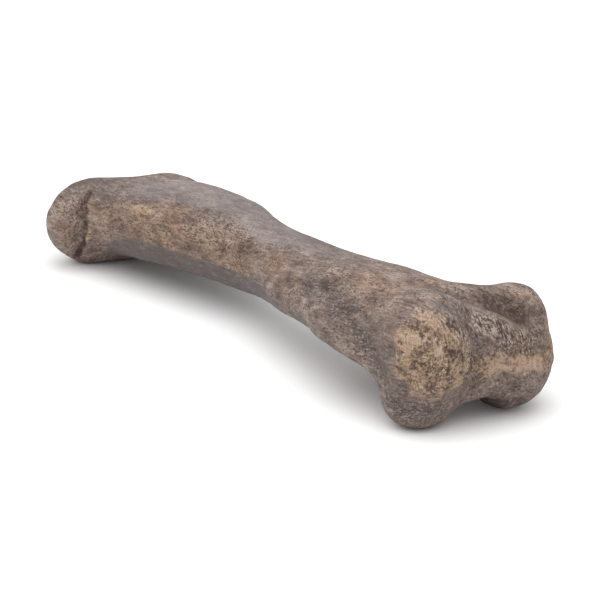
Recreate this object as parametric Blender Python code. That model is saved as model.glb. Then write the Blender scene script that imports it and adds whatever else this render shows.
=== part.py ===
"""Fossil sauropod femur: one thigh bone lying on its back face.

Metres, +Z up. +X is the knee end, -X the hip end, -Y the inner (medial) side and
+Y the outer side. The bone rests on its two knuckles and on the heel of the hip end.
"""
import bpy
import bmesh
import numpy as np

# The bone from end to end, and how round its cross-section is (2 is an ellipse).
LENGTH = 1.168
SECTION_POWER = 2.2
SHAFT_REACH = 0.52
REST_DEPTH = 0.0035

# Shaft: position along the bone, side offset, height, half width, half depth.
SHAFT = (
    (-0.50, -0.030, 0.110, 0.119, 0.079),
    (-0.36, 0.003, 0.123, 0.127, 0.078),
    (-0.20, 0.012, 0.131, 0.106, 0.074),
    (-0.02, 0.004, 0.135, 0.069, 0.067),
    (0.16, -0.007, 0.144, 0.087, 0.062),
    (0.32, -0.011, 0.147, 0.111, 0.071),
    (0.46, 0.004, 0.141, 0.120, 0.077),
)

# Rounded masses: centre, radii, turn about Z in degrees, width of the blend.
HIP_END = {
    "head": ((-0.522, -0.090, 0.102), (0.069, 0.103, 0.083), 8, 0.030),
    "neck": ((-0.490, 0.000, 0.110), (0.070, 0.090, 0.062), 0, 0.030),
    "trochanter": ((-0.485, 0.082, 0.111), (0.066, 0.067, 0.060), 0, 0.040),
    "lip": ((-0.529, -0.093, 0.046), (0.040, 0.048, 0.032), -15, 0.020),
    "heel": ((-0.508, -0.010, 0.060), (0.052, 0.090, 0.048), 0, 0.020),
}
OUTER_KNUCKLE = {
    "condyle": ((0.488, 0.100, 0.102), (0.088, 0.087, 0.091), 0, 0.020),
    "bridge": ((0.475, 0.020, 0.115), (0.084, 0.078, 0.077), 0, 0.020),
    "web": ((0.492, 0.052, 0.155), (0.086, 0.074, 0.060), 30, 0.030),
    "epicondyle": ((0.508, 0.112, 0.167), (0.058, 0.046, 0.058), 0, 0.020),
    "flare": ((0.400, 0.080, 0.108), (0.130, 0.068, 0.058), 12, 0.040),
}
INNER_KNUCKLE = {
    "dome": ((0.471, -0.037, 0.140), (0.092, 0.071, 0.090), -12, 0.025),
    "lobe": ((0.478, -0.055, 0.067), (0.055, 0.061, 0.056), -20, 0.025),
}
HIP_BLEND = 0.030
KNEE_BLEND = 0.035
CLEFT_BLEND = 0.012

# Hollows along a path on the surface: points, width, depth. A ridge has a minus depth.
HOLLOWS = {
    "crease under the head": (
        ((-0.470, -0.140, 0.165), (-0.467, -0.150, 0.135), (-0.465, -0.150, 0.105),
         (-0.495, -0.145, 0.045)), 0.014, 0.012),
    "front groove of the outer knuckle": (
        ((0.440, 0.002, 0.218), (0.480, 0.022, 0.215), (0.520, 0.060, 0.205),
         (0.565, 0.098, 0.190)), 0.022, 0.024),
    "groove between the knuckles": (
        ((0.525, -0.008, 0.214), (0.550, 0.012, 0.182), (0.558, 0.027, 0.150),
         (0.554, 0.029, 0.120)), 0.020, 0.007),
    "furrow across the outer knuckle": (
        ((0.572, 0.070, 0.139), (0.582, 0.120, 0.137)), 0.016, 0.006),
    "inner side hollow": (
        ((0.277, -0.089, 0.194), (0.364, -0.112, 0.185), (0.424, -0.125, 0.165),
         (0.455, -0.130, 0.130), (0.460, -0.125, 0.100)), 0.028, 0.010),
    "inner side ridge": (
        ((0.280, -0.118, 0.125), (0.350, -0.127, 0.118), (0.430, -0.126, 0.105)),
        0.028, -0.005),
    "fourth trochanter": (((0.100, -0.085, 0.100), (0.160, -0.095, 0.095)), 0.035, -0.004),
    "notch behind the knuckles": (((0.400, 0.040, 0.045), (0.500, 0.045, 0.035)), 0.030, 0.024),
    "front of the neck": (((-0.440, 0.000, 0.190), (-0.300, 0.030, 0.195)), 0.050, 0.006),
}

# Facet sizes: both ends are finer than the plain shaft.
END_STEP = 0.0118
SHOULDER_STEP = 0.018
SHAFT_STEP = 0.028
CROSS_STEP = 0.0132
GRID_X = (-0.625, -0.44, -0.36, 0.34, 0.42, 0.615)
GRID_Y = (-0.23, 0.22)
GRID_Z = (-0.02, 0.27)

BONE_COLOUR = (0.259, 0.195, 0.169, 1.0)
BONE_ROUGHNESS = 0.62


def smooth_min(a, b, blend):
    """The lower of two fields, with a fillet of the blend's width."""
    share = np.clip(0.5 + 0.5 * (b - a) / blend, 0, 1)
    return b * (1 - share) + a * share - blend * share * (1 - share)


def smooth_max(a, b, blend):
    """The higher of two fields, with the same fillet."""
    return -smooth_min(-a, -b, blend)


def through(stations, x):
    """Smooth curves through the station values that never overshoot them."""
    at = np.array([row[0] for row in stations])
    gap = np.diff(at)
    cell = np.clip(np.searchsorted(at, x) - 1, 0, len(at) - 2)
    t = np.clip((x - at[cell]) / gap[cell], -0.5, 1.5)
    curves = []
    for column in range(1, len(stations[0])):
        value = np.array([row[column] for row in stations])
        slope = limited_slopes(value, gap)
        curves.append(
            (2 * t**3 - 3 * t**2 + 1) * value[cell]
            + (t**3 - 2 * t**2 + t) * gap[cell] * slope[cell]
            + (3 * t**2 - 2 * t**3) * value[cell + 1]
            + (t**3 - t**2) * gap[cell] * slope[cell + 1]
        )
    return curves


def limited_slopes(value, gap):
    """Slope at each station: zero at a turning point, a weighted mean elsewhere."""
    rise = np.diff(value) / gap
    slope = np.zeros(len(value))
    slope[0] = rise[0]
    slope[-1] = rise[-1]
    for i in range(1, len(value) - 1):
        if rise[i - 1] * rise[i] > 0:
            before = 2 * gap[i] + gap[i - 1]
            after = gap[i] + 2 * gap[i - 1]
            slope[i] = (before + after) / (before / rise[i - 1] + after / rise[i])
    return slope


def shaft(points):
    """Distance-like field of the shaft, below zero inside."""
    side, height, half_width, half_depth = through(SHAFT, np.clip(points[..., 0], -0.6, 0.6))
    across = np.abs((points[..., 1] - side) / half_width) ** SECTION_POWER
    up = np.abs((points[..., 2] - height) / half_depth) ** SECTION_POWER
    field = ((across + up) ** (1 / SECTION_POWER) - 1) * np.minimum(half_width, half_depth)
    return smooth_max(field, np.abs(points[..., 0]) - SHAFT_REACH, 0.06)


def mass(points, centre, radii, turn):
    """Field of one ellipsoid turned about Z."""
    angle = np.radians(turn)
    local = points - np.array(centre)
    along = local[..., 0] * np.cos(angle) + local[..., 1] * np.sin(angle)
    across = local[..., 1] * np.cos(angle) - local[..., 0] * np.sin(angle)
    local = np.stack((along, across, local[..., 2]), -1)
    radii = np.array(radii)
    scale = np.linalg.norm(local / radii, axis=-1)
    return scale * (scale - 1) / (np.linalg.norm(local / radii**2, axis=-1) + 1e-9)


def merged(points, masses):
    """Masses of one group run together, each with its own blend."""
    field = None
    for centre, radii, turn, blend in masses.values():
        one = mass(points, centre, radii, turn)
        field = one if field is None else smooth_min(field, one, blend)
    return field


def from_path(points, path):
    """Distance of each point from a line through the path's points."""
    nearest = np.full(points.shape[:-1], np.inf)
    for start, end in zip(path[:-1], path[1:]):
        start = np.array(start)
        run = np.array(end) - start
        share = np.clip(((points - start) @ run) / (run @ run), 0, 1)
        away = np.linalg.norm(points - start - share[..., None] * run, axis=-1)
        nearest = np.minimum(nearest, away)
    return nearest


def bone(points):
    """The whole bone as one field, below zero inside."""
    field = smooth_min(shaft(points), merged(points, HIP_END), HIP_BLEND)
    outer = merged(points, OUTER_KNUCKLE)
    inner = merged(points, INNER_KNUCKLE)
    field = smooth_min(field, smooth_min(outer, inner, CLEFT_BLEND), KNEE_BLEND)
    for path, width, depth in HOLLOWS.values():
        field = field + depth * np.exp(-(from_path(points, path) / width) ** 2)
    return field


def grid_lines(stops, steps):
    """Grid positions between stops, with about one step's spacing in each stretch."""
    lines = [stops[0]]
    for low, high, step in zip(stops[:-1], stops[1:], steps):
        count = max(1, round((high - low) / step))
        lines.extend(np.linspace(low, high, count + 1)[1:])
    return np.array(lines)


def skin(axes):
    """Quads around the zero surface: one corner for each grid cell that it crosses."""
    grid = np.stack(np.meshgrid(*axes, indexing="ij"), -1)
    value = bone(grid)
    cells = tuple(np.array(value.shape) - 1)
    total = np.zeros(cells + (3,))
    count = np.zeros(cells)
    unit = np.eye(3, dtype=int)
    loops = []
    for axis in range(3):
        low = np.take(value, range(cells[axis]), axis)
        high = np.take(value, range(1, cells[axis] + 1), axis)
        at = np.argwhere((low < 0) != (high < 0))
        key = tuple(at.T)
        share = (low[key] / (low[key] - high[key]))[:, None]
        crossing = grid[key] + share * (grid[tuple((at + unit[axis]).T)] - grid[key])
        one, other = unit[(axis + 1) % 3], unit[(axis + 2) % 3]
        around = (at - one - other, at - other, at, at - one)
        for cell in around:
            np.add.at(total, tuple(cell.T), crossing)
            np.add.at(count, tuple(cell.T), 1)
        loop = np.stack(around, 1)
        loops.append(np.where((low[key] < 0)[:, None, None], loop, loop[:, ::-1]))
    used = count > 0
    number = np.cumsum(used).reshape(cells) - 1
    corners = total[used] / count[used][:, None]
    quads = [number[tuple(np.moveaxis(loop, 2, 0))] for loop in loops]
    return corners, np.concatenate(quads)


def settle(corners, rounds=4, reach=0.004, probe=0.001):
    """Move every corner onto the surface along the field's slope."""
    for _ in range(rounds):
        slope = np.zeros_like(corners)
        for axis in range(3):
            aside = np.eye(3)[axis] * probe
            slope[:, axis] = (bone(corners + aside) - bone(corners - aside)) / (2 * probe)
        steep = np.maximum((slope**2).sum(-1), 0.05)
        step = slope * (bone(corners) / steep)[:, None]
        length = np.maximum(np.linalg.norm(step, axis=-1, keepdims=True), 1e-9)
        corners = corners - step * np.minimum(1, reach / length)
    return corners


def stand(corners):
    """Cut the lowest spots flat, then put the bone's box on the ground at the origin."""
    ground = corners[:, 2].min() + REST_DEPTH
    corners[:, 2] = np.maximum(corners[:, 2], ground)
    low, high = corners.min(0), corners.max(0)
    corners -= np.array(((low[0] + high[0]) / 2, (low[1] + high[1]) / 2, ground))
    return corners * (LENGTH / (high[0] - low[0]))


def bone_material():
    material = bpy.data.materials.new("fossil_bone")
    material.use_nodes = True
    shader = material.node_tree.nodes["Principled BSDF"]
    shader.inputs["Base Color"].default_value = BONE_COLOUR
    shader.inputs["Roughness"].default_value = BONE_ROUGHNESS
    return material


def build():
    for old in list(bpy.data.objects):
        bpy.data.objects.remove(old, do_unlink=True)
    axes = (
        grid_lines(GRID_X, (END_STEP, SHOULDER_STEP, SHAFT_STEP, SHOULDER_STEP, END_STEP)),
        grid_lines(GRID_Y, (CROSS_STEP,)),
        grid_lines(GRID_Z, (CROSS_STEP,)),
    )
    corners, quads = skin(axes)
    corners = stand(settle(corners))
    mesh = bpy.data.meshes.new("femur")
    mesh.from_pydata(corners.tolist(), [], quads.tolist())
    work = bmesh.new()
    work.from_mesh(mesh)
    bmesh.ops.triangulate(work, faces=work.faces, quad_method="SHORT_EDGE")
    work.to_mesh(mesh)
    work.free()
    mesh.shade_smooth()
    mesh.materials.append(bone_material())
    femur = bpy.data.objects.new("femur", mesh)
    bpy.context.scene.collection.objects.link(femur)
    return femur


build()
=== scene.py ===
"""Fossil sauropod femur: the weathered skin over the solid bone, and a plain studio stage.

Metres, +Z up. +X is the knee end, -X the hip end and -Y the inner side, which the camera sees.
"""
import itertools
import math

import bmesh
import bpy
import numpy as np
from bpy.props import FloatProperty, FloatVectorProperty, IntProperty, PointerProperty
from mathutils import Matrix, Vector


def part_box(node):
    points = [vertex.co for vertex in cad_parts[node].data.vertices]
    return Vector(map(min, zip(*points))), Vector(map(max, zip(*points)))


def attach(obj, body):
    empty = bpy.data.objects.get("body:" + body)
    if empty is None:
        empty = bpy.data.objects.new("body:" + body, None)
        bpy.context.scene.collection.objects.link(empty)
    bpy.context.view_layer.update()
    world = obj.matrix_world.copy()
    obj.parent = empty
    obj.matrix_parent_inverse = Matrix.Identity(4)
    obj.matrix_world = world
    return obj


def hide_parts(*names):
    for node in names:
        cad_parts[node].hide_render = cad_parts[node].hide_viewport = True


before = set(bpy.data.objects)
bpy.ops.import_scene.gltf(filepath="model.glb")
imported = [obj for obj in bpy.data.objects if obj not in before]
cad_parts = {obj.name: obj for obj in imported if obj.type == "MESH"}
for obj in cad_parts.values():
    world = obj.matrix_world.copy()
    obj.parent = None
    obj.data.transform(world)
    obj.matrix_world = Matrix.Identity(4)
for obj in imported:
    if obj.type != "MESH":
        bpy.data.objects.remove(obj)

bl_info = {
    "name": "Fossil sauropod femur",
    "version": (1, 0, 0),
    "blender": (4, 5, 0),
    "location": "3D View > Sidebar > Femur",
    "description": "Builds a weathered fossil thigh bone and the stage it is shown on",
    "category": "Add Mesh",
}

# Lines on the bone that its marks follow, in metres.
HEAD_CREASE = (
    (-0.470, -0.115, 0.158), (-0.466, -0.131, 0.138), (-0.452, -0.139, 0.124), (-0.458, -0.139, 0.112),
    (-0.447, -0.139, 0.100), (-0.449, -0.141, 0.086), (-0.457, -0.142, 0.074), (-0.454, -0.142, 0.062),
    (-0.474, -0.139, 0.044), (-0.496, -0.136, 0.022))
HEAD_CREASE_RIM = (
    (-0.437, -0.132, 0.120), (-0.434, -0.137, 0.100), (-0.438, -0.136, 0.075), (-0.455, -0.135, 0.050))
FRONT_GROOVE = (
    (0.400, 0.005, 0.200), (0.426, 0.014, 0.199), (0.463, 0.025, 0.192), (0.491, 0.042, 0.190),
    (0.512, 0.055, 0.184), (0.530, 0.071, 0.178), (0.549, 0.086, 0.169), (0.565, 0.099, 0.157))
KNUCKLE_GROOVE = (
    (0.512, -0.036, 0.213), (0.527, -0.030, 0.203), (0.545, -0.012, 0.183), (0.554, 0.003, 0.153),
    (0.564, 0.005, 0.125), (0.562, 0.004, 0.085))
WEB_RIDGE = (
    (0.510, -0.005, 0.204), (0.519, 0.030, 0.190), (0.541, 0.052, 0.178), (0.563, 0.066, 0.163),
    (0.577, 0.080, 0.142))
OUTER_FURROW = (
    (0.566, 0.010, 0.128), (0.571, 0.029, 0.131), (0.577, 0.045, 0.133), (0.578, 0.073, 0.127),
    (0.577, 0.105, 0.121), (0.570, 0.140, 0.115))
OUTER_RIDGE = (
    (0.566, 0.012, 0.104), (0.572, 0.044, 0.111), (0.578, 0.063, 0.112), (0.581, 0.092, 0.107),
    (0.578, 0.126, 0.101), (0.566, 0.150, 0.092))
INNER_VALLEY = (
    (0.240, -0.080, 0.172), (0.287, -0.085, 0.168), (0.369, -0.103, 0.155), (0.433, -0.110, 0.128),
    (0.462, -0.107, 0.089))
INNER_CREST = (
    (0.235, -0.104, 0.135), (0.345, -0.123, 0.128), (0.419, -0.118, 0.108), (0.478, -0.109, 0.074),
    (0.485, -0.110, 0.066))
KNUCKLE_RIM = (
    (0.513, -0.072, 0.203), (0.531, -0.052, 0.201), (0.542, -0.041, 0.193), (0.550, -0.031, 0.182),
    (0.556, -0.021, 0.167), (0.559, -0.015, 0.152))

# The edge of the slate underside and of the grey bloom on the front, seen from the inner side. Below the
# first the slate is partly painted shade; past the second the grey, laid only on faces that look up, is a
# painted sheen.
SLATE_EDGE = (
    (-0.421, -0.123, 0.066), (-0.382, -0.122, 0.085), (-0.329, -0.118, 0.101), (-0.284, -0.110, 0.109),
    (-0.216, -0.096, 0.110), (-0.123, -0.077, 0.107), (-0.050, -0.066, 0.110), (-0.012, -0.062, 0.110),
    (0.069, -0.073, 0.113), (0.136, -0.087, 0.112), (0.200, -0.095, 0.100), (0.300, -0.110, 0.085))
GREY_TOP_EDGE = (
    (-0.430, -0.060, 0.170), (-0.409, -0.095, 0.158), (-0.365, -0.084, 0.167), (-0.319, -0.066, 0.176),
    (-0.265, -0.054, 0.179), (-0.210, -0.043, 0.181), (-0.091, -0.031, 0.181), (-0.024, -0.034, 0.178),
    (0.028, -0.041, 0.175), (0.100, -0.028, 0.187), (0.222, -0.024, 0.193), (0.300, -0.010, 0.198))
# Where each of them starts, is whole, starts to fade and ends, along X.
SLATE_SPAN = (-0.450, -0.390, 0.060, 0.280)
GREY_TOP_SPAN = (-0.490, -0.370, 0.040, 0.360)

# The rugged joint face of the inner knuckle: its rim, and the way it faces.
INNER_FACE = (
    (0.503, -0.097, 0.186), (0.513, -0.076, 0.202), (0.530, -0.053, 0.202), (0.549, -0.035, 0.184),
    (0.560, -0.018, 0.152), (0.564, -0.012, 0.117), (0.562, -0.025, 0.090), (0.550, -0.070, 0.070),
    (0.532, -0.095, 0.075), (0.512, -0.108, 0.090), (0.500, -0.112, 0.131), (0.498, -0.107, 0.163))
INNER_FACE_AXIS = (0.76, -0.58, 0.25)
# Two rounded ends that are a little rugged too: centre and half axes.
OUTER_END = ((0.58, 0.10, 0.09), (0.05, 0.09, 0.07))
HIP_END = ((-0.57, -0.10, 0.11), (0.07, 0.11, 0.08))

# Grooves, with a minus share, and ridges: line, half width, its depth, share of that, unevenness.
RELIEF_LINES = (
    (KNUCKLE_RIM, 0.0045, "face_height", 1.0, 0.5),
    (HEAD_CREASE, 0.0050, "crease_depth", -1.3, 0.5),
    (HEAD_CREASE_RIM, 0.0060, "crease_depth", 0.4, 0.4),
    (FRONT_GROOVE, 0.0120, "groove_depth", -1.0, 0.0),
    (KNUCKLE_GROOVE, 0.0080, "groove_depth", -0.6, 0.0),
    (OUTER_FURROW, 0.0120, "groove_depth", -0.6, 0.3),
    (OUTER_RIDGE, 0.0120, "groove_depth", 0.7, 0.3),
    (WEB_RIDGE, 0.0090, "groove_depth", 0.5, 0.3),
    (INNER_VALLEY, 0.0120, "groove_depth", -0.5, 0.0),
    (INNER_CREST, 0.0090, "groove_depth", 0.4, 0.3),
    (SLATE_EDGE[3:10], 0.0040, "slate_lip", 1.0, 0.8),
)
# The knob on the front of the hip end and the dip before it: centre, reach, height.
KNOBS = (((-0.470, 0.062, 0.160), 0.030, 0.0022), ((-0.462, 0.005, 0.172), 0.022, -0.0030))
# Distance from the middle of the bone at which its thick ends begin, and at which they are reached.
BONE_ENDS = (0.36, 0.50)
# Heights over which the relief sets in above the floor, and how far it may pass the solid's box.
FLOOR_FADE = (0.001, 0.012)
PAST_BOX = 0.003
# Small and wide hollows: rounds of smoothing that find them, and the depth that counts as full.
HOLLOWS = ((5, 0.0016), (40, 0.006))
# Directions that fibres and cuts run in: the first for the whole bone, the others on the knee end.
FIBRES = (1, 0.05, 0.1)
SLANTED = (0.08, 0.62, 0.78)
UPRIGHT = (-0.28, 0.20, 0.94)
STEEP = (0.51, 0.19, -0.84)
# Turns a place so that X runs with the slanted or with the steep cuts.
SLANTED_TURN = ((0.08, 0.98, 0.17), (0.62, -0.18, 0.76), (0.78, 0.04, -0.62))
STEEP_TURN = ((0.51, 0.35, 0.79), (0.19, -0.94, 0.29), (-0.84, 0.0, 0.54))
# Usual swing of the noise texture for 0, 1, 2 and more layers of detail.
NOISE_SWING = (0.125, 0.092, 0.078, 0.071, 0.066)

# Stains and bare patches, and painted shade, shadow and highlights on grooves, creases, ridges and
# undersides: mark, line, half width, strength.
STAINS = (
    ("tan", ((-0.400, -0.120, 0.125), (-0.231, -0.090, 0.138), (-0.146, -0.065, 0.146),
             (0.000, -0.055, 0.140)), 0.050, 0.9),
    ("tan", ((-0.057, -0.063, 0.112), (0.032, -0.066, 0.114)), 0.016, 1.0),
    ("tan", ((0.067, -0.059, 0.165), (0.139, -0.066, 0.172)), 0.020, 0.9),
    ("tan", ((0.069, -0.060, 0.140), (0.200, -0.080, 0.145)), 0.030, 0.5),
    ("tan", ((-0.500, -0.170, 0.110), (-0.480, -0.160, 0.080)), 0.045, 0.5),
    ("tan", ((0.300, -0.050, 0.190), (0.400, -0.060, 0.200)), 0.040, 0.6),
    ("ochre", OUTER_RIDGE, 0.019, 1.1),
    ("ochre", ((-0.318, -0.096, 0.157), (-0.295, -0.092, 0.158)), 0.012, 0.7),
    ("ochre", ((-0.240, -0.098, 0.120), (-0.205, -0.094, 0.122)), 0.012, 0.7),
    ("ochre", ((0.540, -0.086, 0.083), (0.563, -0.031, 0.094), (0.567, -0.026, 0.110)), 0.010, 1.0),
    ("pale", ((0.567, 0.030, 0.114), (0.575, 0.051, 0.109), (0.579, 0.069, 0.107)), 0.013, 1.4),
    ("pale", ((0.582, 0.091, 0.105), (0.577, 0.128, 0.090)), 0.012, 1.0),
    ("pale", ((0.510, 0.095, 0.210), (0.537, 0.105, 0.203)), 0.016, 0.2),
    # Pale rim beside the crease under the head, partly a painted highlight.
    ("pale", ((-0.446, -0.140, 0.072), (-0.440, -0.139, 0.081), (-0.434, -0.137, 0.092)), 0.005, 0.9),
    # Painted highlight along the top of the shaft.
    ("dry_and_highlight", ((-0.395, 0.019, 0.177), (-0.290, 0.028, 0.183)), 0.024, 1.0),
    ("dry_and_highlight", ((-0.060, -0.020, 0.182), (0.040, -0.030, 0.181)), 0.020, 1.0),
    ("dry_and_highlight", ((-0.240, -0.010, 0.184), (-0.180, -0.015, 0.184)), 0.014, 0.8),
    ("dry_and_highlight", ((0.510, 0.095, 0.210), (0.537, 0.105, 0.203)), 0.014, 0.35),
    # Painted highlight on the inner crest.
    ("dry_and_highlight", INNER_CREST, 0.012, 0.7),
    ("dry_and_highlight", ((0.535, -0.066, 0.193), (0.546, -0.054, 0.184)), 0.009, 0.9),
    ("dry_and_highlight", ((0.508, -0.100, 0.180), (0.514, -0.099, 0.170)), 0.010, 0.8),
    ("dry_and_highlight", ((0.538, -0.088, 0.084), (0.546, -0.080, 0.080)), 0.007, 0.8),
    ("dry_and_highlight", ((0.568, 0.032, 0.112), (0.575, 0.052, 0.107), (0.579, 0.072, 0.105)), 0.010, 1.6),
    ("dry_and_highlight", ((0.581, 0.100, 0.103), (0.578, 0.125, 0.095)), 0.011, 1.0),
    ("dry_and_highlight", ((0.555, 0.020, 0.165), (0.578, 0.060, 0.145)), 0.028, 0.7),
    ("dry_and_highlight", ((0.570, 0.050, 0.075), (0.578, 0.110, 0.070)), 0.030, 0.55),
    ("dry_and_highlight", ((-0.500, -0.165, 0.120), (-0.470, -0.165, 0.090)), 0.050, 0.8),
    ("dry_and_highlight", ((0.562, 0.027, 0.078), (0.566, 0.034, 0.090)), 0.010, 0.6),
    ("dry_and_highlight", ((0.550, 0.020, 0.172), (0.576, 0.042, 0.150)), 0.008, 0.8),
    ("dry_and_highlight", ((0.320, -0.080, 0.181), (0.353, -0.074, 0.190)), 0.008, 0.7),
    ("dry_and_highlight", ((0.490, -0.027, 0.218), (0.507, -0.020, 0.213), (0.512, -0.004, 0.203)), 0.007, 0.7),
    ("dry_and_highlight", ((0.553, 0.124, 0.192), (0.567, 0.132, 0.161)), 0.010, 0.5),
    ("dry_and_highlight", ((-0.480, -0.178, 0.125), (-0.500, -0.165, 0.140)), 0.016, 0.5),
    ("dry_and_highlight", ((-0.435, -0.120, 0.120), (-0.340, -0.115, 0.130)), 0.014, 0.5),
    # Painted highlight on the web's ridge.
    ("dry_and_highlight", WEB_RIDGE, 0.009, 0.6),
    ("dry_and_highlight", ((0.475, -0.109, 0.065), (0.487, -0.109, 0.036)), 0.010, 0.6),
    ("slate_and_shade", ((0.485, -0.112, 0.045), (0.505, -0.108, 0.045), (0.532, -0.086, 0.038),
               (0.546, -0.059, 0.042)), 0.030, 0.8),
    ("slate_and_shade", ((0.565, 0.046, 0.066), (0.578, 0.070, 0.072), (0.580, 0.093, 0.062),
               (0.560, 0.150, 0.060)), 0.026, 0.45),
    ("slate_and_shade", ((-0.466, -0.103, 0.164), (-0.412, -0.100, 0.158)), 0.020, 0.7),
    # Painted shade in the inner valley.
    ("slate_and_shade", INNER_VALLEY, 0.020, 0.9),
    ("slate_and_shade", ((-0.525, -0.140, 0.150), (-0.510, -0.100, 0.168), (-0.470, -0.060, 0.172)), 0.022, 0.8),
    ("slate_and_shade", ((0.200, -0.095, 0.095), (0.320, -0.115, 0.080), (0.430, -0.105, 0.060)), 0.018, 0.8),
    ("slate_and_shade", ((-0.160, -0.035, 0.183), (-0.067, -0.034, 0.178)), 0.016, 0.5),
    # Painted shade along the inner valley.
    ("slate_and_shade", ((0.279, -0.076, 0.176), (0.351, -0.092, 0.170), (0.405, -0.100, 0.157)), 0.013, 0.6),
    ("bloom_and_sheen", ((0.520, -0.040, 0.210), (0.550, -0.016, 0.178), (0.558, -0.004, 0.150)), 0.014, 0.9),
    ("bloom_and_sheen", ((0.470, -0.030, 0.208), (0.500, -0.020, 0.212)), 0.024, 0.6),
    ("rust", ((-0.264, -0.063, 0.175), (-0.218, -0.078, 0.160), (-0.200, -0.080, 0.150)), 0.020, 0.7),
    ("rust", ((0.102, -0.058, 0.173), (0.140, -0.075, 0.163)), 0.013, 0.5),
    ("rust", ((0.330, -0.055, 0.195), (0.425, -0.045, 0.203)), 0.022, 0.6),
    ("rust", ((0.575, 0.060, 0.150), (0.578, 0.094, 0.128)), 0.012, 0.5),
    ("rust", ((0.539, -0.083, 0.072), (0.564, -0.045, 0.088)), 0.010, 0.5),
    ("soot_and_shade", ((-0.474, -0.177, 0.099), (-0.470, -0.172, 0.088)), 0.014, 0.4),
    ("soot_and_shade", ((-0.464, -0.165, 0.081), (-0.462, -0.144, 0.069)), 0.010, 0.4),
    # Painted shade in the crease under the head, with dark stain.
    ("soot_and_shade", ((-0.460, -0.137, 0.124), (-0.452, -0.139, 0.105), (-0.450, -0.139, 0.092)), 0.012, 1.4),
    ("soot_and_shade", ((-0.474, -0.125, 0.142), (-0.464, -0.131, 0.132)), 0.010, 0.8),
    ("soot_and_shade", HEAD_CREASE, 0.0050, 1.7),
    # Painted shade along the front groove.
    ("soot_and_shade", ((0.502, 0.058, 0.190), (0.522, 0.066, 0.181), (0.540, 0.083, 0.174), (0.550, 0.092, 0.169)),
     0.014, 1.4),
    ("soot_and_shade", FRONT_GROOVE[:4], 0.008, 0.4),
    ("soot_and_shade", ((-0.300, -0.040, 0.182), (-0.250, -0.030, 0.184)), 0.014, 0.25),
    ("soot_and_shade", ((-0.020, -0.052, 0.157), (-0.005, -0.050, 0.160)), 0.012, 0.4),
    ("soot_and_shade", ((0.098, -0.036, 0.184), (0.104, -0.038, 0.183)), 0.006, 0.6),
    # Painted shade in the groove between the knuckles.
    ("soot_and_shade", KNUCKLE_GROOVE, 0.009, 0.7),
    ("soot_and_shade", KNUCKLE_GROOVE[3:], 0.013, 0.8),
    ("soot_and_shade", ((0.497, -0.110, 0.060), (0.509, -0.103, 0.042)), 0.012, 0.35),
    ("soot_and_shade", ((0.530, -0.093, 0.064), (0.537, -0.071, 0.045)), 0.011, 0.35),
    # Painted shade in the outer furrow.
    ("soot_and_shade", OUTER_FURROW, 0.009, 0.6),
    # Painted shadow under the outer knuckle, near the floor.
    ("soot_and_shade", ((0.488, 0.074, 0.015), (0.540, 0.060, 0.022), (0.560, 0.080, 0.022)), 0.024, 2.4),
    ("soot_and_shade", ((0.550, -0.083, 0.100), (0.554, -0.079, 0.107)), 0.008, 1.1),
    ("soot_and_shade", ((0.564, -0.054, 0.155), (0.566, -0.059, 0.143)), 0.006, 0.9),
    ("soot_and_shade", ((0.566, -0.064, 0.130), (0.566, -0.061, 0.114)), 0.004, 0.7),
    ("soot_and_shade", ((0.527, -0.087, 0.180), (0.541, -0.073, 0.180)), 0.007, 0.4),
    ("soot_and_shade", ((0.548, -0.090, 0.130), (0.538, -0.097, 0.140)), 0.011, 0.5),
    # Painted shade in the groove between the knuckles.
    ("soot_and_shade", ((0.533, -0.005, 0.184), (0.550, -0.003, 0.160), (0.562, 0.000, 0.132),
              (0.565, -0.012, 0.112)), 0.008, 0.8),
    ("soot_and_shade", ((0.555, 0.012, 0.155), (0.572, 0.036, 0.138), (0.579, 0.070, 0.126)), 0.008, 0.7),
    ("soot_and_shade", ((0.575, 0.065, 0.076), (0.580, 0.075, 0.066)), 0.010, 0.5),
    ("soot_and_shade", ((0.581, 0.118, 0.072), (0.578, 0.140, 0.068)), 0.010, 0.4),
    # Painted shade in the inner valley.
    ("soot_and_shade", ((0.360, -0.108, 0.148), (0.430, -0.112, 0.125), (0.465, -0.109, 0.095)), 0.018, 0.35),
    ("soot_and_shade", ((-0.160, -0.090, 0.126), (-0.095, -0.075, 0.126)), 0.007, 0.5),
    ("soot_and_shade", ((0.216, -0.088, 0.168), (0.240, -0.091, 0.167)), 0.009, 0.5),
    ("soot_and_shade", ((0.265, -0.075, 0.175), (0.285, -0.080, 0.172)), 0.011, 0.5),
    ("soot_and_shade", ((0.330, -0.095, 0.160), (0.370, -0.098, 0.160)), 0.010, 0.5),
    ("soot_and_shade", ((0.542, -0.052, 0.192), (0.547, -0.046, 0.187), (0.552, -0.041, 0.181)), 0.0034, 1.8),
    ("soot_and_shade", ((0.561, -0.063, 0.155), (0.564, -0.057, 0.153), (0.566, -0.050, 0.149)), 0.0040, 1.8),
    ("soot_and_shade", ((0.565, -0.060, 0.146), (0.567, -0.061, 0.132), (0.566, -0.061, 0.114)), 0.0026, 1.2),
    ("soot_and_shade", ((0.568, -0.053, 0.137), (0.567, -0.042, 0.149)), 0.0026, 1.5),
    ("soot_and_shade", ((0.568, -0.037, 0.146), (0.570, -0.035, 0.124)), 0.0024, 1.2),
    ("soot_and_shade", ((0.564, -0.015, 0.133), (0.564, -0.014, 0.113)), 0.0030, 1.0),
    ("soot_and_shade", ((0.567, -0.028, 0.108), (0.565, -0.021, 0.108)), 0.0030, 1.2),
    ("soot_and_shade", ((0.546, -0.084, 0.094), (0.552, -0.081, 0.105), (0.557, -0.077, 0.113)), 0.0060, 1.8),
    ("soot_and_shade", ((0.547, -0.089, 0.114), (0.550, -0.086, 0.121)), 0.0030, 1.2),
    ("soot_and_shade", ((0.552, -0.082, 0.143), (0.554, -0.080, 0.142)), 0.0035, 1.2),
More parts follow.
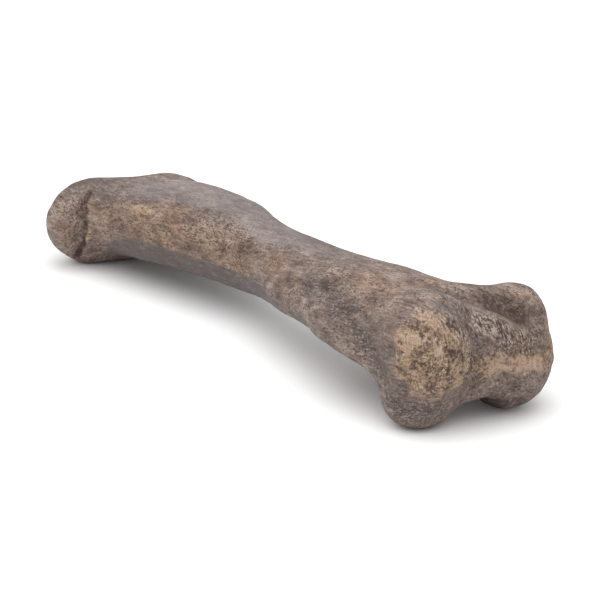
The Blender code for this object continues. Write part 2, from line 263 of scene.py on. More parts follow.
    ("soot_and_shade", ((0.521, -0.109, 0.114), (0.533, -0.102, 0.127), (0.541, -0.091, 0.153)), 0.0060, 0.6),
    ("soot_and_shade", ((0.485, -0.027, 0.217), (0.507, -0.024, 0.214), (0.516, -0.007, 0.202)), 0.0045, 0.8),
    ("soot_and_shade", ((0.562, 0.039, 0.173), (0.575, 0.049, 0.162), (0.581, 0.069, 0.151)), 0.0045, 0.7),
    # Painted shade in the crease under the head, with dark stain.
    ("soot_and_shade", ((-0.463, -0.137, 0.128), (-0.450, -0.136, 0.123), (-0.454, -0.139, 0.112),
              (-0.460, -0.143, 0.101), (-0.445, -0.139, 0.096)), 0.0065, 1.7),
    ("soot_and_shade", ((-0.449, -0.141, 0.079), (-0.459, -0.142, 0.062), (-0.456, -0.140, 0.054)), 0.0040, 1.2),
    ("crowd", ((-0.160, -0.035, 0.183), (-0.067, -0.034, 0.178)), 0.016, 0.8),
    ("crowd", ((-0.218, -0.078, 0.160), (-0.020, -0.053, 0.155), (-0.010, -0.052, 0.158)), 0.020, 0.7),
    ("crowd", ((0.092, -0.036, 0.184), (0.105, -0.040, 0.182)), 0.010, 1.0),
    ("crowd", ((0.222, -0.087, 0.168), (0.251, -0.091, 0.167)), 0.012, 1.0),
    ("crowd", ((0.279, -0.076, 0.176), (0.344, -0.091, 0.170)), 0.024, 1.0),
    ("crowd", ((0.250, -0.105, 0.125), (0.420, -0.118, 0.100)), 0.024, 0.6),
    ("crowd", ((0.490, -0.108, 0.050), (0.560, -0.030, 0.050), (0.575, 0.100, 0.060)), 0.040, 0.5),
    ("crowd", ((-0.510, -0.170, 0.120), (-0.470, -0.165, 0.090)), 0.050, 0.3),
    ("crowd", ((0.500, 0.100, 0.205), (0.560, 0.130, 0.150)), 0.040, 0.6),
    ("frost", ((-0.090, -0.036, 0.178), (-0.019, -0.035, 0.176)), 0.016, 0.9),
    ("frost", ((0.296, -0.067, 0.186), (0.368, -0.077, 0.189)), 0.014, 0.9),
    ("frost", ((0.548, 0.023, 0.175), (0.560, 0.025, 0.159)), 0.014, 1.0),
    ("frost", ((0.577, 0.060, 0.150), (0.580, 0.094, 0.130)), 0.012, 0.8),
    ("frost", ((0.552, -0.045, 0.178), (0.562, -0.034, 0.145), (0.563, -0.030, 0.115)), 0.009, 0.9),
    ("frost", ((0.480, -0.108, 0.045), (0.535, -0.080, 0.040)), 0.035, 0.9),
    ("frost", ((0.570, 0.050, 0.070), (0.575, 0.110, 0.060)), 0.030, 0.7),
    ("frost", ((0.430, 0.000, 0.200), (0.480, 0.020, 0.195)), 0.012, 0.9),
    ("frost", INNER_VALLEY, 0.018, 0.9),
    ("hatch", ((0.541, 0.015, 0.181), (0.564, 0.036, 0.170), (0.577, 0.050, 0.148),
               (0.580, 0.085, 0.142)), 0.024, 1.0),
    ("hatch", ((0.546, -0.046, 0.187), (0.560, -0.028, 0.160), (0.565, -0.018, 0.130),
               (0.562, -0.020, 0.105)), 0.015, 0.9),
)
# Places whose relief needs the finest facets: centre and reach.
FINE_SPOTS = (
    ((0.545, -0.062, 0.140), 0.070), ((0.562, 0.040, 0.160), 0.045), ((-0.455, -0.140, 0.100), 0.040))
# Marks that each corner of the skin carries for the material, each from 0 to about 1.
MARKS = (
    "tan", "ochre", "pale", "dry_and_highlight", "slate_and_shade", "bloom_and_sheen", "rust", "soot_and_shade", "crowd", "frost", "hatch",
    "rugged", "still", "hollow")


class FemurRelief(bpy.types.PropertyGroup):
    """Sizes of the relief that weathering left on the bone."""

    refinement: IntProperty(
        name="Refinement", description="How often each facet of the solid is divided", default=2,
        min=0, max=2)
    unevenness: FloatProperty(
        name="Unevenness", description="Height of the broad swells and dents", default=0.0014,
        min=0, max=0.004, precision=4, unit="LENGTH")
    grain_depth: FloatProperty(
        name="Grain depth", description="Height of the fibres that run along the shaft", default=0.0004,
        min=0, max=0.002, precision=4, unit="LENGTH")
    rugged_depth: FloatProperty(
        name="Rugged depth", description="Depth of the pits in the joint faces", default=0.0018,
        min=0, max=0.004, precision=4, unit="LENGTH")
    face_height: FloatProperty(
        name="Face height", description="How far the inner joint face stands out", default=0.0016,
        min=0, max=0.004, precision=4, unit="LENGTH")
    groove_depth: FloatProperty(
        name="Groove depth", description="How much deeper weathering cut the knee end's grooves",
        default=0.0030, min=0, max=0.005, precision=4, unit="LENGTH")
    crease_depth: FloatProperty(
        name="Crease depth", description="Depth of the crease under the head", default=0.0042,
        min=0, max=0.008, precision=4, unit="LENGTH")
    slate_lip: FloatProperty(
        name="Slate lip", description="Height of the edge above the slate underside", default=0.0010,
        min=0, max=0.003, precision=4, unit="LENGTH")
    cut_depth: FloatProperty(
        name="Cut depth", description="Depth of the cuts across the web", default=0.0008,
        min=0, max=0.003, precision=4, unit="LENGTH")
    pit_spacing: FloatProperty(
        name="Pit spacing", description="Distance between the pits of the joint faces", default=0.019,
        min=0.005, max=0.1, precision=3, unit="LENGTH")


class FemurColours(bpy.types.PropertyGroup):
    """Colours of the mineral stains and of the painted shade, sheen and highlights, and how matte the bone
    is.
    """

    umber: FloatVectorProperty(
        name="Umber", description="Brown of the bone where nothing else stains it", subtype="COLOR",
        default=(0.174, 0.127, 0.108), min=0, max=1)
    tan: FloatVectorProperty(
        name="Tan", description="Warm brown of the bare patches", subtype="COLOR",
        default=(0.208, 0.135, 0.090), min=0, max=1)
    ochre: FloatVectorProperty(
        name="Ochre", description="Yellow of the joint faces", subtype="COLOR",
        default=(0.338, 0.226, 0.138), min=0, max=1)
    pale: FloatVectorProperty(
        name="Pale", description="Buff of the rubbed ridges", subtype="COLOR",
        default=(0.375, 0.250, 0.172), min=0, max=1)
    # Chalk: dry grey grain and threads, and the painted highlights on ridges and along the top.
    chalk: FloatVectorProperty(
        name="Chalk", description="Dry grey of the highest grain", subtype="COLOR",
        default=(0.440, 0.350, 0.300), min=0, max=1)
    # Bloom: partly a grey stain, partly a painted sheen on the faces that look up.
    bloom_and_sheen: FloatVectorProperty(
        name="Bloom", description="Grey bloom on the front of the shaft", subtype="COLOR",
        default=(0.188, 0.153, 0.145), min=0, max=1)
    # Slate: the dark grey stain, and painted shade on faces that look down and in the inner valley.
    slate_and_shade: FloatVectorProperty(
        name="Slate", description="Dark grey of the smooth undersides", subtype="COLOR",
        default=(0.094, 0.073, 0.068), min=0, max=1)
    rust: FloatVectorProperty(
        name="Rust", description="Iron stain", subtype="COLOR",
        default=(0.220, 0.130, 0.085), min=0, max=1)
    # Soot: black-brown in pits and cracks, and painted shade in grooves and creases and a painted shadow
    # under the outer knuckle.
    soot_and_shade: FloatVectorProperty(
        name="Soot", description="Nearly black brown in pits and creases", subtype="COLOR",
        default=(0.050, 0.028, 0.020), min=0, max=1)
    roughness: FloatProperty(
        name="Roughness", description="How matte the bone is", default=0.62, min=0, max=1, subtype="FACTOR")


class FemurStage(bpy.types.PropertyGroup):
    """Floor, light and camera."""

    floor_colour: FloatVectorProperty(
        name="Floor colour", description="Colour of the plain floor", subtype="COLOR",
        default=(0.90, 0.90, 0.90), min=0, max=1)
    floor_size: FloatProperty(
        name="Floor size", description="Side of the square floor", default=40.0, min=4, unit="LENGTH")
    sky: FloatProperty(
        name="Sky", description="Strength of the even light from straight above", default=1.35, min=0)
    horizon: FloatProperty(
        name="Horizon", description="Strength of the even light from the sides", default=0.55, min=0)
    softbox_power: FloatProperty(
        name="Softbox power", description="Power of the light overhead", default=42.0, min=0, unit="POWER")
    softbox_size: FloatProperty(
        name="Softbox size", description="Side of the square light overhead", default=3.0, min=0.1,
        unit="LENGTH")
    softbox_place: FloatVectorProperty(
        name="Softbox place", description="Where the light overhead hangs", default=(0.5, -0.6, 2.3),
        subtype="TRANSLATION", unit="LENGTH")
    lens: FloatProperty(
        name="Lens", description="Focal length of the camera, in millimetres", default=101.8, min=10)
    azimuth: FloatProperty(
        name="Azimuth", description="Where the camera stands, from the inner side towards the knee end",
        default=math.radians(55.1), subtype="ANGLE")
    pitch: FloatProperty(
        name="Pitch", description="How far the camera looks down", default=math.radians(20.2),
        subtype="ANGLE")
    distance: FloatProperty(
        name="Distance", description="From the camera to the point it looks at", default=2.993, min=0.5,
        unit="LENGTH")
    target: FloatVectorProperty(
        name="Target", description="Point the camera looks at", default=(0.0818, 0.0027, 0.0752),
        subtype="TRANSLATION", unit="LENGTH")


def lattice(cells, seed):
    """A fixed random number from 0 to 1 for each whole-numbered cell."""
    mixed = cells[:, 0] * 73856093 ^ cells[:, 1] * 19349663 ^ cells[:, 2] * 83492791 ^ (seed * 2654435761)
    mixed = ((mixed ^ (mixed >> 13)) * 1274126177) & 0xFFFFFFFF
    mixed = ((mixed ^ (mixed >> 15)) * 2246822519) & 0xFFFFFFFF
    return ((mixed ^ (mixed >> 16)) & 0xFFFFF) / 0xFFFFF


def ripples(points, size, seed):
    """Smooth random values, about -1 to 1, that change over the given size."""
    at = points / np.asarray(size)
    cell = np.floor(at).astype(np.int64)
    inside = at - cell
    fade = inside**3 * (inside * (inside * 6 - 15) + 10)
    total = np.zeros(len(points))
    for corner in itertools.product((0, 1), repeat=3):
        corner = np.array(corner)
        slope = np.stack([lattice(cell + corner, seed * 3 + axis) for axis in range(3)], axis=1) * 2 - 1
        share = np.where(corner, fade, 1 - fade).prod(axis=1)
        total += share * ((inside - corner) * slope).sum(axis=1)
    return total * 1.7


def layered(points, size, seed, layers=3, keep=0.5):
    """Ripples with finer, lower ripples on top."""
    size = np.asarray(size, float)
    return sum(keep**n * ripples(points, size / 2**n, seed + 17 * n) for n in range(layers))


def shifts(points, size, seed, layers=3):
    """Layered ripples for each of the three axes."""
    return np.stack([layered(points, size, seed + axis, layers) for axis in range(3)], axis=1)


def away_from(points, centre, half_axes=(1, 1, 1)):
    """Distance of each point from a centre, in shares of the half axes."""
    return np.linalg.norm((points - centre) / half_axes, axis=1)


def nearest_pit(points, size, seed):
    """Distance to the nearest of scattered points, as a share of their spacing."""
    at = points / np.asarray(size)
    cell = np.floor(at).astype(np.int64)
    best = np.full(len(points), 9.0)
    for corner in itertools.product((-1, 0, 1), repeat=3):
        other = cell + np.array(corner)
        spot = other + np.stack([lattice(other, seed * 5 + axis) for axis in range(3)], axis=1)
        best = np.minimum(best, ((at - spot) ** 2).sum(axis=1))
    return np.sqrt(best)


def ease(value, low, high):
    """0 below low, 1 above high, smooth between them."""
    t = np.clip((value - low) / (high - low), 0, 1)
    return t * t * (3 - 2 * t)


def distance_to(points, line):
    """Distance from each point to a line through the given corners."""
    line = np.asarray(line, float)
    best = np.full(len(points), np.inf)
    for start, end in zip(line[:-1], line[1:]):
        step = end - start
        t = np.clip((points - start) @ step / (step @ step), 0, 1)
        best = np.minimum(best, np.linalg.norm(points - start - t[:, None] * step, axis=1))
    return best


def inside_face(points, normals, rim, axis):
    """How far each point lies inside a rim, in metres, as seen along the axis; minus is outside."""
    axis = np.asarray(axis, float) / np.linalg.norm(axis)
    across = np.cross(axis, (0, 0, 1.0))
    across /= np.linalg.norm(across)
    plane = np.stack([across, np.cross(axis, across)], axis=1)
    flat, corners = points @ plane, np.asarray(rim) @ plane
    crossings = np.zeros(len(points), bool)
    nearest = np.full(len(points), np.inf)
    for a, b in zip(corners, np.roll(corners, -1, axis=0)):
        step = b - a
        t = np.clip((flat - a) @ step / (step @ step), 0, 1)
        nearest = np.minimum(nearest, np.linalg.norm(flat - a - t[:, None] * step, axis=1))
        spans = (a[1] > flat[:, 1]) != (b[1] > flat[:, 1])
        rise = step[1] if step[1] else 1e-12
        crossings ^= spans & (flat[:, 0] < a[0] + (flat[:, 1] - a[1]) / rise * step[0])
    depth = np.where(crossings, nearest, -nearest)
    return np.where(normals @ axis > 0.1, depth, -0.1)


def bone_copy(refinement):
    """The solid's mesh, merged into one skin, divided and smoothed."""
    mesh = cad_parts["femur"].data.copy()
    mesh.materials.clear()
    shape = bmesh.new()
    shape.from_mesh(mesh)
    bmesh.ops.remove_doubles(shape, verts=shape.verts, dist=1e-6)
    bmesh.ops.join_triangles(
        shape, faces=shape.faces, angle_face_threshold=math.radians(50),
        angle_shape_threshold=math.radians(50))
    shape.to_mesh(mesh)
    shape.free()
    rough = bpy.data.objects.new("femur_blank", mesh)
    bpy.context.scene.collection.objects.link(rough)
    divide = rough.modifiers.new("Divide", "SUBSURF")
    divide.levels = divide.render_levels = refinement
    drawn = rough.evaluated_get(bpy.context.evaluated_depsgraph_get())
    skin = bpy.data.meshes.new_from_object(drawn)
    bpy.data.objects.remove(rough)
    for layer in list(skin.attributes):
        if layer.name in ("sharp_edge", "custom_normal"):
            skin.attributes.remove(layer)
    divide_near(skin, FINE_SPOTS)
    piece = bpy.data.objects.new("femur_skin", skin)
    bpy.context.scene.collection.objects.link(piece)
    return piece


def divide_near(mesh, spots):
    """Divides the facets near the places with the finest relief once more."""
    shape = bmesh.new()
    shape.from_mesh(mesh)
    near = [face for face in shape.faces
            if any((face.calc_center_median() - Vector(place)).length < reach for place, reach in spots)]
    edges = list({edge for face in near for edge in face.edges})
    bmesh.ops.subdivide_edges(shape, edges=edges, cuts=1, use_grid_fill=True, smooth=0.0)
    shape.to_mesh(mesh)
    shape.free()


def read(mesh):
    """The corners of a mesh and the way each one faces."""
    points = np.zeros(len(mesh.vertices) * 3)
    mesh.vertices.foreach_get("co", points)
    normals = np.zeros(len(mesh.vertices) * 3, np.float32)
    mesh.vertex_normals.foreach_get("vector", normals)
    return points.reshape(-1, 3), normals.reshape(-1, 3).astype(float)


def hollowness(mesh, rounds):
    """How far each corner lies below its smoothed surroundings, in metres; minus is a ridge."""
    points, normals = read(mesh)
    ends = np.zeros(len(mesh.edges) * 2, np.int64)
    mesh.edges.foreach_get("vertices", ends)
    one, other = ends[0::2], ends[1::2]
    count = np.bincount(ends, minlength=len(points))
    soft = points.copy()
    for _ in range(rounds):
        total = np.stack([
            np.bincount(one, soft[other, axis], len(points))
            + np.bincount(other, soft[one, axis], len(points)) for axis in range(3)], axis=1)
        soft = 0.4 * soft + 0.6 * total / count[:, None]
    return ((soft - points) * normals).sum(axis=1)


def past_edge(points, line, column, span):
    """How far each point lies above a line that runs along the bone, faded out past the span's ends."""
    line = np.asarray(line)
    level = np.interp(points[:, 0], line[:, 0], line[:, column])
    start, whole, fading, end = span
    x = points[:, 0] + 0.045 * layered(points, (0.09, 0.03, 0.03), 47)
    return points[:, column] - level, ease(x, start, whole) * ease(x, end, fading)


def find_marks(points, normals):
    """Strength of each stain, painted shade and painted sheen at every corner, from 0 to 1."""
    marks = {name: np.zeros(len(points)) for name in MARKS}
    # The stains' outlines wander by up to about a centimetre, those of thin strokes by less.
    wander = 0.009 * shifts(points, (0.09, 0.035, 0.035), 40) + 0.003 * shifts(points, 0.012, 50)
    for name, line, width, strength in STAINS:
        shift = wander * min(1.0, width / 0.02)
        reach = np.exp(-(distance_to(points + shift, line) / width) ** 2)
        marks[name] = np.maximum(marks[name], strength * reach)
    # Below its edge the inner faces get the slate stain; faces that look down get the same dark grey as
    # painted shade.
    above, span = past_edge(points + wander * 0.35, SLATE_EDGE, 2, SLATE_SPAN)
    inner = ease(normals[:, 1], 0.3, -0.1)
    under = np.maximum(ease(above, 0.004, -0.005) * inner, ease(normals[:, 2], -0.45, -0.8))
    marks["slate_and_shade"] = np.maximum(marks["slate_and_shade"], under * span)
    marks["still"] = under * span
    # Painted sheen: past its edge, the grey goes only on faces that look up.
    beyond, span = past_edge(points + wander, GREY_TOP_EDGE, 1, GREY_TOP_SPAN)
    grey = ease(beyond, -0.012, 0.012) * span * ease(normals[:, 2], 0.15, 0.5)
    marks["bloom_and_sheen"] = np.maximum(marks["bloom_and_sheen"], grey)
    marks["still"] = np.maximum(marks["still"], 0.6 * grey)
    marks["face depth"] = inside_face(points + wander * 0.5, normals, INNER_FACE, INNER_FACE_AXIS)
    marks["rugged"] = ease(marks["face depth"], -0.004, 0.006)
    marks["ochre"] = np.maximum(marks["ochre"], ease(marks["face depth"], -0.010, 0.016))
    outer = ease(away_from(points, *OUTER_END), 1.15, 0.75)
    head = ease(away_from(points, *HIP_END), 1.2, 0.7)
    marks["rugged"] = np.maximum(marks["rugged"], np.maximum(0.35 * outer, 0.25 * head))
    # The outer side, which the photograph hides, gets broad stains of the same kinds.
    broad = layered(points, (0.22, 0.09, 0.09), 61)
    outer_side = ease(normals[:, 1], -0.2, 0.4)
    marks["tan"] = np.maximum(marks["tan"], outer_side * ease(broad, 0.0, 0.6))
    marks["slate_and_shade"] = np.maximum(marks["slate_and_shade"], 0.8 * outer_side * ease(-broad, 0.1, 0.7))
    return marks


def weather(mesh, relief):
    """Moves the skin in and out: swells, fibres, the rugged joint faces, creases and pits."""
    points, normals = read(mesh)
    marks = find_marks(points, normals)
    ends = ease(np.abs(points[:, 0]), *BONE_ENDS)
    rugged = marks["rugged"]
    rough_edge = 0.0022 * shifts(points, 0.016, 70, 2)
    patchy = np.clip(layered(points, 0.020, 75, 2), -1, 1)

    # Swells and dents, and fibres along the shaft.
    lift = relief.unevenness * layered(points, 0.075, 1, 2)
    lift += relief.unevenness * 0.45 * layered(points, 0.026, 3, 2) * (0.35 + 0.65 * ends)
    lift += relief.grain_depth * layered(points, (0.11, 0.011, 0.011), 5, 2) * (1 - 0.7 * ends)

    # Chatter marks, pits and lumps of the joint faces; the inner one stands out.
    chatter = layered(points @ np.array(SLANTED_TURN), (0.030, 0.010, 0.012), 7, 2)
    lift -= relief.rugged_depth * 0.6 * rugged * ease(chatter, 0.1, 0.7)
    pit = ease(nearest_pit(points, relief.pit_spacing, 9), 0.40, 0.10)
    lift -= relief.rugged_depth * rugged * pit * ease(layered(points, 0.04, 10, 2), -0.1, 0.3)
    lift += relief.rugged_depth * 0.5 * rugged * layered(points, 0.010, 11, 2)
    lift += relief.face_height * 0.5 * ease(marks["face depth"], -0.004, 0.004)

    # Creases, grooves and ridges, the cuts across the web, and the knob.
    for line, width, depth, share, breaks in RELIEF_LINES:
        reach = np.exp(-(distance_to(points + rough_edge, line) / width) ** 2)
        lift += getattr(relief, depth) * share * reach * (1 + breaks * patchy)
    cuts = layered(points @ np.array(STEEP_TURN), (0.030, 0.006, 0.010), 13, 1)
    lift += relief.cut_depth * marks["hatch"] * cuts
    for centre, reach, height in KNOBS:
        lift += height * np.exp(-(away_from(points, centre) / reach) ** 2)

    # The places that rest on the floor stay as they are.
    lift *= ease(points[:, 2], *FLOOR_FADE)
    points = points + normals * lift[:, None]
    low, high = (np.array(corner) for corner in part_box("femur"))
    points = np.clip(points, low - (PAST_BOX, PAST_BOX, 0), high + PAST_BOX)
    mesh.vertices.foreach_set("co", points.ravel())
    mesh.update()
    hollow = sum(0.25 * hollowness(mesh, rounds) / depth for rounds, depth in HOLLOWS)
    marks["hollow"] = np.clip(0.5 + hollow, 0, 1)
    for name in MARKS:
        layer = mesh.attributes.new(name, "FLOAT", "POINT")
        layer.data.foreach_set("value", marks[name].astype(np.float32))


class Nodes:
    """Adds shader nodes to a tree in few words."""

    def __init__(self, tree):
        self.tree = tree
        self.place = tree.nodes.new("ShaderNodeTexCoord").outputs["Object"]

    def add(self, kind, inputs, **settings):
        """A node with its inputs set or linked."""
        node = self.tree.nodes.new("ShaderNode" + kind)
        for name, value in settings.items():
            setattr(node, name, value)
        for name, value in inputs.items():
            if isinstance(value, bpy.types.NodeSocket):
                self.tree.links.new(value, node.inputs[name])
            else:
                node.inputs[name].default_value = value
        return node

    def mark(self, name):
        """A mark that the skin's corners carry."""
        return self.add("Attribute", {}, attribute_type="GEOMETRY", attribute_name=name).outputs["Fac"]

    def sum(self, kind, one, other=0.0):
        """One step of arithmetic."""
        return self.add("Math", {0: one, 1: other}, operation=kind).outputs[0]

    def ease(self, value, low, high, to_low=0.0, to_high=1.0):
        """Goes smoothly from one value to another between two limits."""
        inputs = {"Value": value, "From Min": low, "From Max": high, "To Min": to_low, "To Max": to_high}
        return self.add("MapRange", inputs, interpolation_type="SMOOTHSTEP").outputs["Result"]

    def noise(self, scale, detail, keep=0.6, place=None, bend=0.0):
        """A pattern about zero whose usual swing is one."""
        inputs = {"Vector": place or self.place, "Scale": scale, "Detail": detail, "Roughness": keep,
                  "Distortion": bend}
        raw = self.add("TexNoise", inputs, noise_dimensions="3D").outputs["Fac"]
        swing = NOISE_SWING[detail]
        return self.add("Math", {0: raw, 1: 1 / swing, 2: -0.5 / swing}, operation="MULTIPLY_ADD").outputs[0]

    def drawn_out(self, direction, stretch):
        """The place, squeezed along one direction, so that a pattern on it is drawn out that way."""
        along = Vector(direction).normalized()
        across = along.orthogonal().normalized()
        turn = Matrix((along, across, along.cross(across))).transposed().to_euler()
        inputs = {"Vector": self.place, "Rotation": turn, "Scale": (stretch, 1, 1)}
        return self.add("Mapping", inputs, vector_type="TEXTURE").outputs["Vector"]

    def ramp(self, value, low, high, to_low=0.0, to_high=1.0):
        """Goes straight from one value to another between two limits."""
        inputs = {"Value": value, "From Min": low, "From Max": high, "To Min": to_low, "To Max": to_high}
        return self.add("MapRange", inputs, interpolation_type="LINEAR").outputs["Result"]

    def line(self, value, width):
        """1 on the thin lines where a pattern passes zero."""
        return self.ease(self.sum("ABSOLUTE", value), 0.0, width, 1.0, 0.0)

    def blend(self, *parts):
        """The sum of patterns, each times its own share."""
        total = 0.0
        for value, share in parts:
            total = self.add("Math", {0: value, 1: share, 2: total}, operation="MULTIPLY_ADD").outputs[0]
        return total

    def highest(self, *values):
        """The highest of several patterns."""
        total = values[0]
        for value in values[1:]:
            total = self.sum("MAXIMUM", total, value)
        return total

    def mix(self, share, one, other):
        """One colour, or the given share of the way to the other."""
        return self.add("Mix", {0: share, 6: one, 7: other}, data_type="RGBA").outputs[2]

    def bump(self, height, strength, distance, normal=None):
        """Fine relief that only the shading shows."""
        inputs = {"Height": height, "Strength": strength, "Distance": distance}
        if normal is not None:
            inputs["Normal"] = normal
        return self.add("Bump", inputs).outputs["Normal"]


def fossil_bone(colours):
    """Bone turned to stone: mottled stains, fibres, black specks and chatter marks, with painted shade in
    hollows, grooves and undersides and painted highlights and sheen on ridges and the top.
    """
    material = bpy.data.materials.new("fossil_bone")
    material.use_nodes = True
    tree = material.node_tree
    tree.nodes.clear()
    n = Nodes(tree)
    names = ("umber", "tan", "ochre", "pale", "chalk", "bloom_and_sheen", "slate_and_shade", "rust", "soot_and_shade")
    umber, tan, ochre, pale, chalk, bloom_and_sheen, slate_and_shade, rust, soot_and_shade = (
        (*getattr(colours, name), 1.0) for name in names)
    marks = {name: n.mark(name) for name in MARKS}

    # Patterns from coarse to fine, drawn out along the bone.
    lengthwise = n.drawn_out(FIBRES, 1.7)
    blotch = n.noise(16, 2, bend=0.6)
    streaky = n.noise(42, 2, place=n.drawn_out(FIBRES, 3.0), bend=0.5)
    smudge = n.noise(46, 1, place=lengthwise, bend=0.4)
    dab = n.noise(95, 1, place=lengthwise)
    speck = n.noise(290, 2, 0.75, place=lengthwise)
    fibre = n.noise(210, 2, 0.70, place=n.drawn_out(FIBRES, 7.0))
    ragged = n.blend((streaky, 0.5), (smudge, 0.3), (dab, 0.3))

    def torn(mark, tear=0.40):
        """The mark, with a ragged edge; its heart stays whole."""
        edge = n.sum("MULTIPLY", mark, n.ramp(mark, 0.0, 1.0, 4.0, 0.0))
        return n.ramp(n.blend((mark, 1.0), (n.sum("MULTIPLY", edge, ragged), tear)), 0.0, 1.0)

    # Ground colour: soft stains over umber and tan that run into each other.
    warm = n.blend((marks["tan"], 0.9), (blotch, 0.15), (streaky, 0.05))
    colour = n.mix(n.ramp(warm, 0.0, 1.0), umber, tan)
    stains = (("bloom_and_sheen", bloom_and_sheen), ("slate_and_shade", slate_and_shade), ("ochre", ochre), ("rust", rust), ("pale", pale))
    for name, shade in stains:
        colour = n.mix(torn(marks[name]), colour, shade)

    # Tone: minus goes to dark brown, plus to dry chalk. The grain is still on slate and bloom.
    calm = n.ease(marks["still"], 0.1, 0.9, 1.0, 0.50)
    soft = n.blend((blotch, 0.11), (streaky, 0.06), (smudge, 0.14), (dab, 0.10))
    fine = n.blend((speck, 0.14), (fibre, 0.17))
    worn = n.highest(marks["rugged"], marks["hatch"])
    fine = n.sum("MULTIPLY", fine, n.blend((calm, 1.0), (worn, 0.25)))
    tone = n.blend((n.sum("MULTIPLY", soft, calm), 1.0), (fine, 1.0))
    # The dry marks add dry grey and painted highlights; the still mark also darkens the smooth underside, as
    # painted shade, and the grey top a little.
    tone = n.blend((tone, 1.0), (torn(marks["dry_and_highlight"]), 0.30), (marks["still"], -0.09))
    # Painted shade in the hollows, and a painted highlight on the ridges.
    tone = n.sum("ADD", tone, n.ease(marks["hollow"], 0.5, 0.1, 0.0, 0.20))
    tone = n.sum("SUBTRACT", tone, n.ease(marks["hollow"], 0.5, 0.95, 0.0, 0.45))
    # Soot stains, with painted shade in grooves and creases and a painted shadow under the outer knuckle.
    darkened = n.sum("MULTIPLY", torn(marks["soot_and_shade"], 0.6), n.ramp(dab, -2, 2, 1.0, 0.6))
    tone = n.sum("SUBTRACT", tone, darkened)

    # Worm-shaped pores in crowds, and hairlines along the shaft.
    crowd = n.blend((n.noise(34, 2), 0.40), (blotch, 0.25), (marks["crowd"], 1.2), (marks["tan"], 0.5),
                    (marks["hatch"], 0.4))
    crowd = n.sum("MULTIPLY", n.ease(crowd, -0.7, 1.0, 0.18, 1.0), calm)
    worm = n.line(n.noise(140, 1, place=lengthwise, bend=0.5), 0.80)
    pepper = n.sum("MULTIPLY", n.sum("MULTIPLY", worm, n.ease(speck, 1.3, -0.3)), crowd)
    hair = n.line(n.noise(75, 2, place=n.drawn_out(FIBRES, 5.0)), 0.16)
    hair = n.sum("MULTIPLY", n.sum("MULTIPLY", hair, n.ease(smudge, -0.2, 1.2)), calm)

    # Nicks and cracks of the joint faces, and the cuts across the web.
    slanted = n.noise(300, 1, place=n.drawn_out(SLANTED, 3.5))
    upright = n.noise(240, 1, place=n.drawn_out(UPRIGHT, 4.5))
    steep = n.noise(330, 1, place=n.drawn_out(STEEP, 4.0))
    nick = n.ease(n.blend((smudge, 0.7), (dab, 0.7)), 0.4, -0.8)
    nick = n.sum("MULTIPLY", n.ease(slanted, -0.3, -1.2), nick)
    crack = n.sum("MULTIPLY", n.line(upright, 0.60), n.ease(n.sum("MAXIMUM", dab, streaky), 1.1, 0.0))
    crack = n.sum("MULTIPLY", crack, n.ease(marks["hatch"], 0.2, 0.8, 1.0, 0.3))
    marred = n.sum("MULTIPLY", n.highest(n.blend((nick, 0.70)), crack), marks["rugged"])
    marred = n.highest(marred, n.sum("MULTIPLY", n.ease(steep, -0.3, -0.9), marks["hatch"]))
    black = n.highest(n.blend((pepper, 0.95)), n.blend((hair, 0.55)), marred)

    # Dry pale threads.
    thread = n.line(n.noise(110, 2, place=n.drawn_out(FIBRES, 2.0), bend=1.0), 0.50)
    thread = n.highest(n.sum("MULTIPLY", thread, marks["frost"]),
                       n.sum("MULTIPLY", n.ease(steep, 0.3, 1.0), marks["hatch"]),
                       n.sum("MULTIPLY", n.ease(upright, 0.7, 1.6), marks["rugged"]))

    colour = n.mix(n.highest(n.blend((thread, 0.75)), n.ramp(tone, 0.0, 1.0, 0.0, 0.6)), colour, chalk)
    colour = n.mix(n.ramp(tone, 0.0, -1.0, 0.0, 0.95), colour, soot_and_shade)
    colour = n.mix(black, colour, soot_and_shade)

    polish = n.ease(marks["still"], 0.0, 1.0, colours.roughness, colours.roughness - 0.12)
    rough = n.blend((speck, -0.03), (polish, 1.0))
    relief = n.bump(smudge, 0.5, 0.0006)
    relief = n.bump(fine, 0.6, 0.0016, relief)
    relief = n.bump(black, 0.6, -0.0010, relief)
    shader = n.add("BsdfPrincipled", {
        "Base Color": colour, "Roughness": rough, "Normal": relief, "Specular IOR Level": 0.35})
    n.add("OutputMaterial", {"Surface": shader.outputs[0]})
    return material


def plain_floor(colour):
    """Matte paint of one colour."""
    material = bpy.data.materials.new("pale_floor")
    material.use_nodes = True
    shader = material.node_tree.nodes["Principled BSDF"]
    shader.inputs["Base Color"].default_value = (*colour, 1.0)
    shader.inputs["Roughness"].default_value = 0.9
    shader.inputs["Specular IOR Level"].default_value = 0.0
    return material


class FEMUR_OT_bone(bpy.types.Operator):
    """Builds the weathered bone over the solid"""

    bl_idname = "femur.bone"
    bl_label = "Build the bone"

    def execute(self, context):
        scene = context.scene
        if "femur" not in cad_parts:
            raise RuntimeError("the frame has no solid named femur")
        piece = bone_copy(scene.femur_relief.refinement)
        weather(piece.data, scene.femur_relief)
        piece.data.materials.append(fossil_bone(scene.femur_colours))
        piece.data.shade_smooth()
        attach(piece, "root")
        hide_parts("femur")
        return {"FINISHED"}


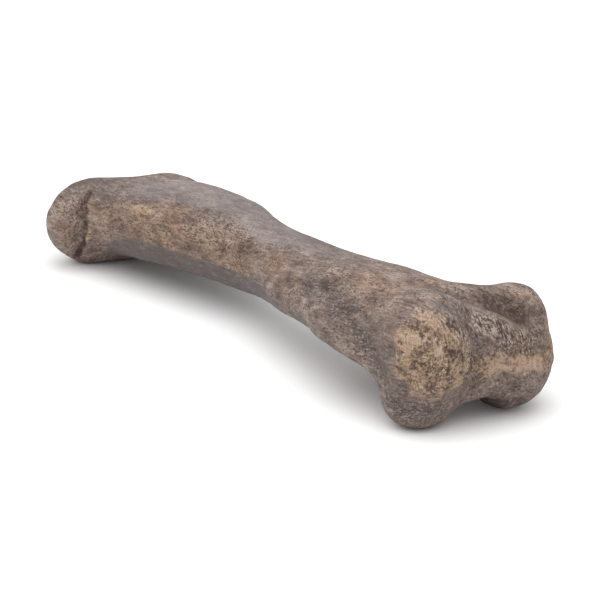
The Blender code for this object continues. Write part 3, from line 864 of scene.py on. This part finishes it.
class FEMUR_OT_stage(bpy.types.Operator):
    """Builds the floor, the light and the camera"""

    bl_idname = "femur.stage"
    bl_label = "Build the stage"

    def execute(self, context):
        scene, stage = context.scene, context.scene.femur_stage
        mesh = bpy.data.meshes.new("floor")
        half = stage.floor_size / 2
        mesh.from_pydata([(-half, -half, 0), (half, -half, 0), (half, half, 0), (-half, half, 0)], [],
                         [(0, 1, 2, 3)])
        mesh.materials.append(plain_floor(stage.floor_colour))
        floor = bpy.data.objects.new("floor", mesh)
        scene.collection.objects.link(floor)

        world = bpy.data.worlds.new("studio")
        world.use_nodes = True
        tree = world.node_tree
        height = tree.nodes.new("ShaderNodeSeparateXYZ")
        tree.links.new(tree.nodes.new("ShaderNodeTexCoord").outputs["Generated"], height.inputs[0])
        dome = tree.nodes.new("ShaderNodeMapRange")
        dome.inputs["To Min"].default_value = stage.horizon
        dome.inputs["To Max"].default_value = stage.sky
        tree.links.new(height.outputs["Z"], dome.inputs["Value"])
        sky = tree.nodes["Background"].inputs
        sky["Color"].default_value = (1, 1, 1, 1)
        tree.links.new(dome.outputs["Result"], sky["Strength"])
        scene.world = world
        lamp = bpy.data.lights.new("softbox", "AREA")
        lamp.size = stage.softbox_size
        lamp.energy = stage.softbox_power
        softbox = bpy.data.objects.new("softbox", lamp)
        softbox.location = stage.softbox_place
        softbox.rotation_euler = softbox.location.to_track_quat("Z", "Y").to_euler()
        scene.collection.objects.link(softbox)

        lens = bpy.data.cameras.new("camera")
        lens.lens = stage.lens
        camera = bpy.data.objects.new("camera", lens)
        away = Vector((math.sin(stage.azimuth) * math.cos(stage.pitch),
                       -math.cos(stage.azimuth) * math.cos(stage.pitch), math.sin(stage.pitch)))
        camera.location = Vector(stage.target) + away * stage.distance
        camera.rotation_euler = away.to_track_quat("Z", "Y").to_euler()
        scene.collection.objects.link(camera)
        scene.camera = camera
        scene.view_settings.view_transform = "Standard"
        return {"FINISHED"}


class FEMUR_PT_panel(bpy.types.Panel):
    """Lists the femur's sizes, colours and operators."""

    bl_idname = "FEMUR_PT_panel"
    bl_label = "Fossil sauropod femur"
    bl_space_type = "VIEW_3D"
    bl_region_type = "UI"
    bl_category = "Femur"

    def draw(self, context):
        scene = context.scene
        for settings, operator in (
                (scene.femur_relief, None), (scene.femur_colours, FEMUR_OT_bone),
                (scene.femur_stage, FEMUR_OT_stage)):
            box = self.layout.box()
            for name in type(settings).__annotations__:
                box.prop(settings, name)
            if operator:
                box.operator(operator.bl_idname)


CLASSES = (FemurRelief, FemurColours, FemurStage, FEMUR_OT_bone, FEMUR_OT_stage, FEMUR_PT_panel)


def register():
    for item in CLASSES:
        bpy.utils.register_class(item)
    bpy.types.Scene.femur_relief = PointerProperty(type=FemurRelief)
    bpy.types.Scene.femur_colours = PointerProperty(type=FemurColours)
    bpy.types.Scene.femur_stage = PointerProperty(type=FemurStage)


def unregister():
    del bpy.types.Scene.femur_stage
    del bpy.types.Scene.femur_colours
    del bpy.types.Scene.femur_relief
    for item in reversed(CLASSES):
        bpy.utils.unregister_class(item)


def main():
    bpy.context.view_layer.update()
    register()
    bpy.ops.femur.bone()
    bpy.ops.femur.stage()


if __name__ == "__main__":
    main()
